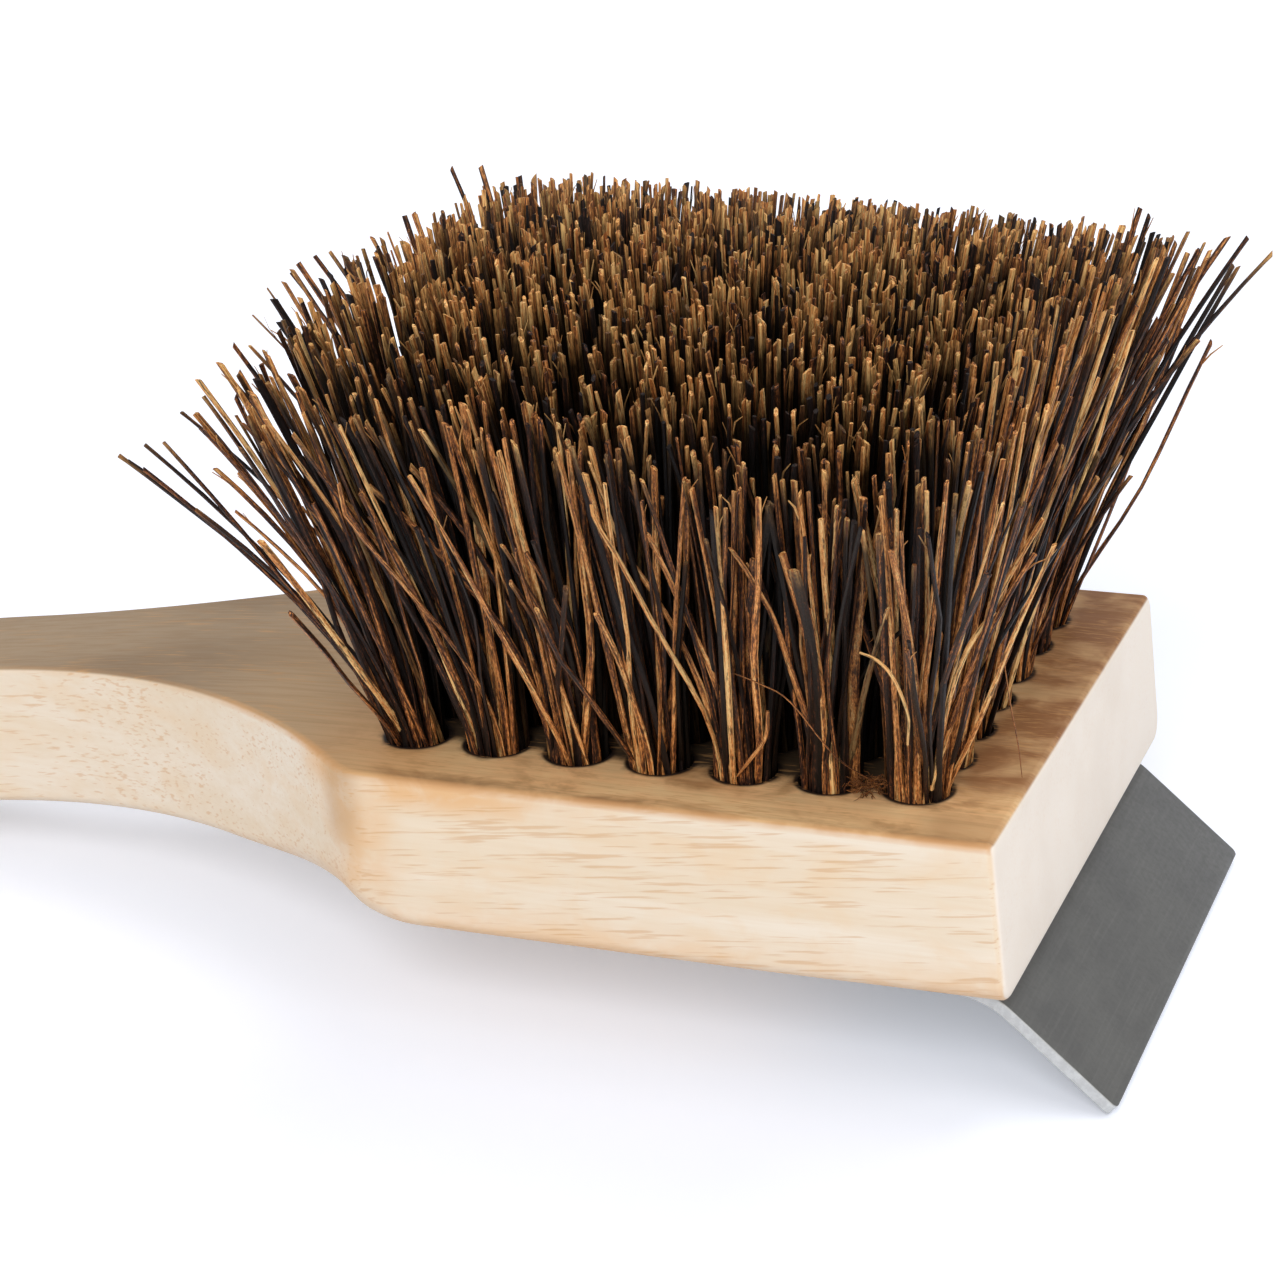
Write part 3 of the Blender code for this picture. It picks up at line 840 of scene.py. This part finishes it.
class Strands:
    """One tuft's fibres as lists of points, faces and the values that their material reads."""

    def __init__(self):
        self.points, self.faces = [], []
        self.places, self.tints, self.soots = [], [], []

    def add(self, route, widths, looks, tip_shares, slope=0, sides=fibre_sides):
        """A tube along a route, flattened and twisted, with a slanted cut at its end."""
        first = len(self.points)
        count = len(route)
        run = 0
        for k, centre in enumerate(route):
            before = route[max(k - 1, 0)]
            after = route[min(k + 1, count - 1)]
            along = (after - before).normalized()
            run += (centre - before).length
            angle = looks["turn"] + looks["twist"] * k / (count - 1)
            across = Vector((math.cos(angle), math.sin(angle), 0))
            across = (across - along * across.dot(along)).normalized()
            beside = along.cross(across)
            for n in range(sides):
                corner = math.tau * n / sides
                width = widths[k] * math.cos(corner)
                depth = widths[k] * looks["flat"] * math.sin(corner)
                rise = slope * width if k == count - 1 else 0
                self.points.append(centre + across * width + beside * depth + along * rise)
                self.places += (math.cos(corner), math.sin(corner), run)
                self.tints += (looks["tone"], tip_shares[k], looks["seed"], looks["speckle"])
                # Painted shade, from none at the fibre's tip to full one reach lower
                self.soots.append(looks["soot"] * ease((route[-1].z - centre.z) / soot_reach))
        for k in range(count - 1):
            low = first + k * sides
            for n in range(sides):
                m = (n + 1) % sides
                self.faces.append((low + n, low + m, low + sides + m, low + sides + n))
        self.faces.append(tuple(first + n for n in reversed(range(sides))))
        self.faces.append(tuple(first + (count - 1) * sides + n for n in range(sides)))

    def mesh(self, name):
        made = bpy.data.meshes.new(name)
        made.from_pydata(self.points, [], self.faces)
        for kind, key, label, values in (
            ("FLOAT_VECTOR", "vector", "fibre_place", self.places),
            ("FLOAT_COLOR", "color", "fibre_tint", self.tints),
            ("FLOAT", "value", "fibre_soot", self.soots),
        ):
            made.attributes.new(label, kind, "POINT").data.foreach_set(key, values)
        return smooth(made, 50)


def lean(place, half_field, reach):
    """How far a fibre's tip stands out from a place in the field: none in the middle."""
    share = place / half_field
    return reach * (inner_lean_share * share + (1 - inner_lean_share) * share**3)


def within_sides(y):
    """Keeps a fibre from standing out too far at the sides."""
    return max(min(y, widest_tip), -widest_tip)


def tip_place(x, y, u, v):
    """Where a fibre ends in plan, for a place in its tuft from -1 to 1 each way."""
    x += u * column_pitch * tip_reach_share
    y += v * row_pitch * tip_reach_share
    from_middle = x + field_middle
    near = -2 * y / field_width
    reach, fan = (nose_lean, nose_fan) if from_middle > 0 else (handle_lean, handle_fan)
    x += lean(from_middle, field_length / 2, reach) * (1 + fan * 2 * y / field_width)
    x += near_drift * max(near, 0) * max(1 - (2 * from_middle / field_length) ** 4, 0)
    y += lean(y, field_width / 2, side_lean)
    return x, within_sides(y)


def fibre_route(fold, root, tip, rise, bend, wave, kink, chance):
    """Points from the hole's bottom up to the tip, bending outward, wavy and perhaps kinked."""
    phases = [chance.uniform(0, math.tau) for _ in range(4)]
    kink_share = chance.uniform(0.35, 0.75)
    kink_angle = chance.uniform(0, math.tau)
    kink_ways = (math.cos(kink_angle), math.sin(kink_angle))
    route = [Vector((*fold, -hole_depth + fold_room))]
    for share in shape_shares:
        out = share**bend
        sway = wave * math.sin(math.pi * min(share * 1.25, 1)) + wave * share * 0.3
        tent = share / kink_share if share < kink_share else (1 - share) / (1 - kink_share)
        place = []
        for k in range(2):
            swing = sway * math.sin(phases[k] + share * (2.5 + phases[k + 2]))
            bent = root[k] + (tip[k] - root[k]) * out + swing
            place.append(bent + kink * tent * kink_ways[k])
        rising = -root_sink + (rise + root_sink) * share
        route.append(Vector((place[0], within_sides(place[1]), rising)))
    return route


def add_along(strands, chance, route, width, looks):
    """A fibre along a route: tapering, slightly uneven, often pale at its cut end or split."""
    taper = chance.uniform(0.65, 0.9)
    widths = [width * (1 - (1 - taper) * ease(k / len(route))) for k in range(len(route))]
    widths = [w * chance.uniform(0.9, 1.1) for w in widths]
    tip_light = chance.choice((0, 0, 0.2, 0.7, 1))
    tips = [0] * (len(route) - len(tip_light_shares))
    tips += [share * tip_light for share in tip_light_shares]
    strands.add(route, widths, looks, tips, chance.uniform(-1.2, 1.2))
    if chance.random() < 0.25:
        add_split(strands, chance, route, widths[-1], looks)


def add_split(strands, chance, route, width, looks):
    """A splinter that stands off the last few millimetres of a fibre."""
    angle = chance.uniform(0, math.tau)
    off = Vector((math.cos(angle), math.sin(angle), 0))
    start, end = route[-3], route[-1]
    reach = chance.uniform(0.0004, 0.0014)
    middle = (start + end) / 2 + off * (width * 0.7 + reach * 0.3)
    longer = (end - start).normalized() * chance.uniform(-0.0012, 0.0002)
    tip = end + off * (width * 0.7 + reach) + longer
    tip.y = within_sides(tip.y)
    splinter = [start + off * width * 0.3, middle, tip]
    widths = [width * 0.35, width * 0.32, width * 0.18]
    looks = dict(looks, tone=looks["tone"] + 0.2, flat=0.6, turn=angle, twist=0.3)
    strands.add(splinter, widths, looks, (0, 0.4, 0.9), sides=5)


def add_fibre(strands, chance, fold, root, tip, length, width, soot, stray):
    """One of a tuft's scattered fibres, some of them flat and broad."""
    flat = chance.uniform(0.5, 0.95)
    if chance.random() < 0.12:
        width *= 1.4
        flat = chance.uniform(0.3, 0.45)
    tone = chance.choices(tones, tone_weights)[0] + chance.uniform(-0.07, 0.07)
    looks = dict(tone=tone, seed=chance.random(), flat=flat, speckle=chance.choice((0, 0.2, 0.5)))
    looks.update(soot=soot, turn=chance.uniform(0, math.pi), twist=chance.gauss(0, 0.6))
    bend = chance.uniform(1, 1.5)
    wave = chance.uniform(0.00004, 0.00032) * (1.6 if stray else 1)
    kink = chance.uniform(0.0005, 0.0022) if chance.random() < 0.22 else 0
    rise = math.sqrt(max(length**2 - math.dist(tip, root) ** 2, (0.5 * length) ** 2))
    route = fibre_route(fold, root, tip, rise, bend, wave, kink, chance)
    add_along(strands, chance, route, width, looks)


def add_loose_fibre(
    strands, chance, x, y, out_x, out_y, rise, tone, half_width, flat=0.8, speckle=0
):
    out_x, out_y, rise = out_x / 1000, out_y / 1000, rise / 1000
    way = math.hypot(out_x, out_y)
    root = (x + out_x / way * packing_radius * 0.9, y + out_y / way * packing_radius * 0.9)
    tip = (x + out_x, y + out_y)
    looks = dict(tone=tone, seed=chance.random(), flat=flat, speckle=speckle, soot=0)
    looks.update(turn=chance.uniform(-0.5, 0.5), twist=chance.uniform(-0.4, 0.4))
    route = fibre_route(root, root, tip, rise, chance.uniform(1.4, 1.8), 0.0004, 0, chance)
    add_along(strands, chance, route, half_width / 1000, looks)


def curved(places, steps=5):
    """A smooth run of points through the given places."""
    ends = [2 * places[0] - places[1], *places, 2 * places[-1] - places[-2]]
    route = []
    for a, b, c, d in zip(ends, ends[1:], ends[2:], ends[3:]):
        for k in range(steps):
            t = k / steps
            square = (2 * a - 5 * b + 4 * c - d) * t**2
            cube = (3 * b - a - 3 * c + d) * t**3
            route.append((2 * b + (c - a) * t + square + cube) / 2)
    return [*route, places[-1]]


def add_hair(strands, tone, seed, half_width, places):
    route = curved(places)
    looks = dict(tone=tone, seed=seed, flat=0.8, turn=0.4, twist=0.8, speckle=0.1, soot=0)
    shares = [k / (len(route) - 1) for k in range(len(route))]
    widths = [half_width * (0.7 + 0.3 * math.sin(math.pi * share)) for share in shares]
    strands.add(route, widths, looks, [0] * len(route), sides=5)


def add_fluff(strands):
    """A little tangle of fine hairs that lies on the deck between two tufts."""
    chance = random.Random(3)
    middle = Vector(fluff_place) / 1000
    for _ in range(fluff_hairs):
        way = chance.uniform(0, math.tau)
        out = Vector((math.cos(way), 0.6 * math.sin(way), 0))
        place = middle + out * fluff_radius * chance.random()
        place.z = chance.uniform(fluff_low, 0.0016)
        places = [place]
        for _ in range(6):
            way += chance.uniform(-1.4, 1.4)
            on = Vector((math.cos(way), math.sin(way), chance.uniform(-0.7, 0.7)))
            place = place + on * 0.0004
            place.z = min(max(place.z, fluff_low), fluff_high)
            places.append(place)
        tone = chance.uniform(0.38, 0.56)
        add_hair(strands, tone, chance.random(), chance.uniform(0.00003, 0.00007), places)


def tuft_mesh(row, column, x, y, chance):
    """A tuft: its scattered fibres in a spiral, then its loose ones and its hairs."""
    strands = Strands()
    on_rim = row in (1, tuft_rows) or column in (1, tuft_columns)
    count = fibres_per_tuft + (rim_fibres if on_rim else 0)
    start = chance.uniform(0, math.tau)
    golden_turn = math.pi * (3 - math.sqrt(5))
    for k in range(count):
        share = math.sqrt((k + 0.5) / count)
        angle = start + k * golden_turn
        u = share * math.cos(angle)
        v = share * math.sin(angle)
        root = (x + u * packing_radius, y + v * packing_radius)
        fold = [c + w * packing_radius * fold_radius_share for c, w in ((x, u), (y, v))]
        # Fibres that don't face the outside of the brush get painted shade low down, where the
        # tufts round them shade them
        across = -v if row == 1 else v if row == tuft_rows else -1
        along = u if column == 1 else -u if column == tuft_columns else -1
        soot = ease((0.46 - max(across, along)) / 0.5)
        fill = 0.5 + 0.5 / max(abs(math.cos(angle)), abs(math.sin(angle)))
        u_tip = u * fill + chance.gauss(0, 0.44 if row == 1 else 0.34 if on_rim else 0.22)
        v_tip = v * fill + chance.gauss(0, 0.2)
        tip = tip_place(x, y, u_tip, v_tip)
        length = bristle_length - trim_rise * (x + field_middle) / (field_length / 2)
        length -= abs(chance.gauss(0, 0.001))
        if chance.random() < (0.13 if on_rim else 0.05):
            length *= chance.uniform(0.7, 0.96)
        stray = chance.random() < (0.22 if on_rim else 0.05)
        if stray:
            tip = (tip[0] + chance.gauss(0, 0.0045), tip[1] + chance.gauss(0, 0.0025))
        width = chance.uniform(0.00029, 0.00046)
        add_fibre(strands, chance, fold, root, tip, length, width, soot, stray)
    for fibre in loose_fibres.get((row, column), ()):
        add_loose_fibre(strands, chance, x, y, *fibre)
    for number, (*tuft, tone, half_width, places) in enumerate(loose_hairs):
        if tuft == [row, column]:
            places = [Vector(place) / 1000 for place in places]
            add_hair(strands, tone, number / len(loose_hairs), half_width / 1000, places)
    if (row, column) == fluff_tuft:
        add_fluff(strands)
    return strands.mesh(f"tuft_fibres_r{row}c{column}")


# The scraper
plate_corner_steps = 6
bend_steps = 20
flat_steps = 8
blade_steps = 6
edge_steps = 3
burr_height = 0.00006
burr_scale = 900


def plate_stations():
    """Along the plate's upper face: X, Z, the direction it faces, and half its width."""
    radius, half = plate_corner_radius, plate_half_width
    turns = quarter(plate_corner_steps)
    corner = [(radius * (1 - math.sin(turn)), radius * (1 - math.cos(turn))) for turn in turns]
    rear = screw_x - plate_tail
    stations = [(rear + run, plate_top, 0, half - across) for run, across in reversed(corner)]
    flat_run = -bend_setback - rear - radius
    for k in range(1, flat_steps):
        stations.append((rear + radius + flat_run * k / flat_steps, plate_top, 0, half))
    for k in range(bend_steps + 1):
        turn = blade_angle * k / bend_steps
        x = outer_bend_radius * math.sin(turn) - bend_setback
        z = plate_top - outer_bend_radius * (1 - math.cos(turn))
        stations.append((x, z, turn, half))
    runs = [((blade_length - radius) * k / blade_steps, 0) for k in range(1, blade_steps)]
    for run, across in runs + [(blade_length - along, across) for along, across in corner]:
        stations.append((x + run * math.cos(turn), z - run * math.sin(turn), turn, half - across))
    return stations


def plate_ring(x, z, turn, half, thin=0):
    """The plate's section at one place, its four edges rounded, drawn in by thin all round."""
    facing = Vector((math.sin(turn), 0, math.cos(turn)))
    radius = plate_edge_radius
    top = Vector((x, 0, z)) - facing * thin
    thickness = plate_thickness - 2 * thin
    half -= thin
    points = []
    for side, depth in ((1, 0), (-1, 0), (-1, thickness), (1, thickness)):
        inward = 1 if depth == 0 else -1
        for angle in quarter(edge_steps):
            if side * inward < 0:
                angle = math.pi / 2 - angle
            y = side * (half - radius * (1 - math.cos(angle)))
            point = top - facing * (depth + inward * radius * (1 - math.sin(angle)))
            points.append((Vector((point.x, y, point.z)), math.cos(angle)))
    return points


def blade_mesh():
    """The bent plate: a strip with rounded edges and fine burrs left by the shears."""
    bm = bmesh.new()
    edge_layer = bm.verts.layers.float.new("edge_share")
    stations = plate_stations()
    rings = [plate_ring(*stations[0], thin=plate_edge_radius)]
    rings += [plate_ring(*station) for station in stations]
    rings.append(plate_ring(*stations[-1], thin=plate_edge_radius))
    loops = loft(bm, [[point for point, _ in ring] for ring in rings])
    noise.seed_set(5)
    for number, (loop, ring) in enumerate(zip(loops, rings)):
        at_end = number < 2 or number > len(rings) - 3
        for vertex, (_, edge_share) in zip(loop, ring):
            vertex[edge_layer] = 1 if at_end else edge_share
            if vertex[edge_layer] > 0.5:
                vertex.co += noise.noise_vector(vertex.co * burr_scale) * burr_height
    mesh = finished_mesh("blade", bm)
    low, high = plate_top - plate_thickness - cut_reach, plate_top + cut_reach
    return smooth(cut(mesh, *screw_bores(low, high, 2 * hole_sides)), 35)


# The screws
screw_sides = 48
screw_head_steps = 10


def screw_mesh(y):
    """A round-headed wood screw with a cross recess and a thread cut as rings down its shank."""
    head_end = screw_seat - screw_head_height
    profile = [(recess_span / 8, head_end)]
    for turn in quarter(screw_head_steps)[2:]:
        level = screw_seat - screw_head_height * math.cos(turn)
        profile.append((screw_head_radius * math.sin(turn), level))
    profile.append((screw_shank_radius, screw_seat))
    core_radius = screw_shank_radius * screw_core_share
    tip_length = 2 * screw_shank_radius
    thread_pitch = (screw_length - tip_length) / screw_threads
    for k in range(screw_threads):
        low = screw_seat + thread_pitch * k
        for radius, share in ((core_radius, 0.4), (core_radius, 0.7), (screw_shank_radius, 1)):
            profile.append((radius, low + thread_pitch * share))
    profile.append((core_radius, screw_top - tip_length * 0.7))
    profile.append((screw_shank_radius / 8, screw_top))
    rings = [circle(radius, z, screw_sides, screw_x, y) for radius, z in profile]
    mesh = lofted_mesh("screw", rings)
    levels = (head_end - cut_reach, head_end + recess_depth)
    for long, wide in ((recess_span / 2, recess_width / 2), (recess_width / 2, recess_span / 2)):
        mesh = cut(mesh, box((screw_x - long, screw_x + long), (y - wide, y + wide), levels))
    return smooth(mesh, 30)


# The sweep, the light and the camera
def make_floor():
    """A pale floor that glows to the camera, so that it is pure white where nothing shades it."""
    material = bpy.data.materials.new("white_floor")
    nodes = Nodes(material)
    nodes.tree.nodes.remove(nodes.tree.nodes["Principled BSDF"])
    rays = nodes.node("LightPath").outputs
    seen = nodes.math("ADD", rays["Is Camera Ray"], rays["Is Glossy Ray"])
    seen = nodes.math("ADD", seen, rays["Is Transmission Ray"], clamp=True)
    strength = nodes.times(seen, floor_glow)
    diffuse = nodes.node("BsdfDiffuse", Color=floor_colour)
    glow = nodes.node("Emission", Color=floor_glow_colour, Strength=strength)
    both = nodes.filled("AddShader", None, diffuse.outputs[0], glow.outputs[0])
    nodes.feed(nodes.tree.nodes["Material Output"].inputs["Surface"], both)
    mesh = bpy.data.meshes.new("floor")
    span = (-floor_half_side, floor_half_side)
    mesh.from_pydata(box(span, span, (0,))[0], [], [(0, 1, 2, 3)])
    mesh.materials.append(material)
    floor = add_object("floor", mesh)
    floor.location.z = -floor_drop


def make_world():
    """Even light from all round, with a paler sky for the camera beyond the floor."""
    world = bpy.data.worlds.new("studio")
    bpy.context.scene.world = world
    nodes = Nodes(world)
    light = nodes.tree.nodes["Background"]
    nodes.feed(light.inputs["Color"], (1, 1, 1))
    nodes.feed(light.inputs["Strength"], world_strength)
    sky = nodes.node("Background", Color=sky_colour, Strength=1)
    seen = nodes.node("LightPath").outputs["Is Camera Ray"]
    both = nodes.filled("MixShader", None, seen, light.outputs[0], sky.outputs[0])
    nodes.feed(nodes.tree.nodes["World Output"].inputs["Surface"], both)


def add_sun(name, azimuth, elevation, strength, spread):
    """A soft lamp far away. Azimuth 0 shines along +Y, and grows towards +X."""
    lamp = bpy.data.lights.new(name, "SUN")
    lamp.energy, lamp.angle = strength, math.radians(spread)
    sun = add_object(name, lamp)
    a, e = math.radians(azimuth), math.radians(elevation)
    source = Vector((math.sin(a) * math.cos(e), -math.cos(a) * math.cos(e), math.sin(e)))
    sun.rotation_euler = source.to_track_quat("Z", "Y").to_euler()


def make_camera():
    data = bpy.data.cameras.new("camera")
    data.lens, data.sensor_width = camera_lens, sensor_width
    data.clip_start, data.clip_end = clip_start, clip_end
    camera = add_object("camera", data)
    nose_corner = home + Vector((0, -head_width / 2, 0))
    turned = Matrix((camera_right, camera_up, camera_back)).transposed().to_4x4()
    camera.matrix_world = Matrix.Translation(nose_corner + camera_from_nose_corner) @ turned
    bpy.context.scene.camera = camera


make_camera()
make_floor()
make_world()
for sun in suns:
    add_sun(*sun)
bpy.context.scene.view_settings.view_transform = "Standard"

fibre = make_fibre()
zinc = make_zinc()
placed("wooden_block", block_mesh(), make_wood(), "handle_block")
chance = random.Random(11)
for row, column, x, y in tuft_places():
    mesh = tuft_mesh(row, column, x, y, chance)
    placed(mesh.name, mesh, fibre, f"bristle_tuft_r{row}c{column}")
placed("steel_scraper", blade_mesh(), make_blade_steel(), "scraper_blade")
for end, y in (("near", -screw_y), ("far", screw_y)):
    placed(f"screw_{end}", screw_mesh(y), zinc, f"scraper_screw_{end}")
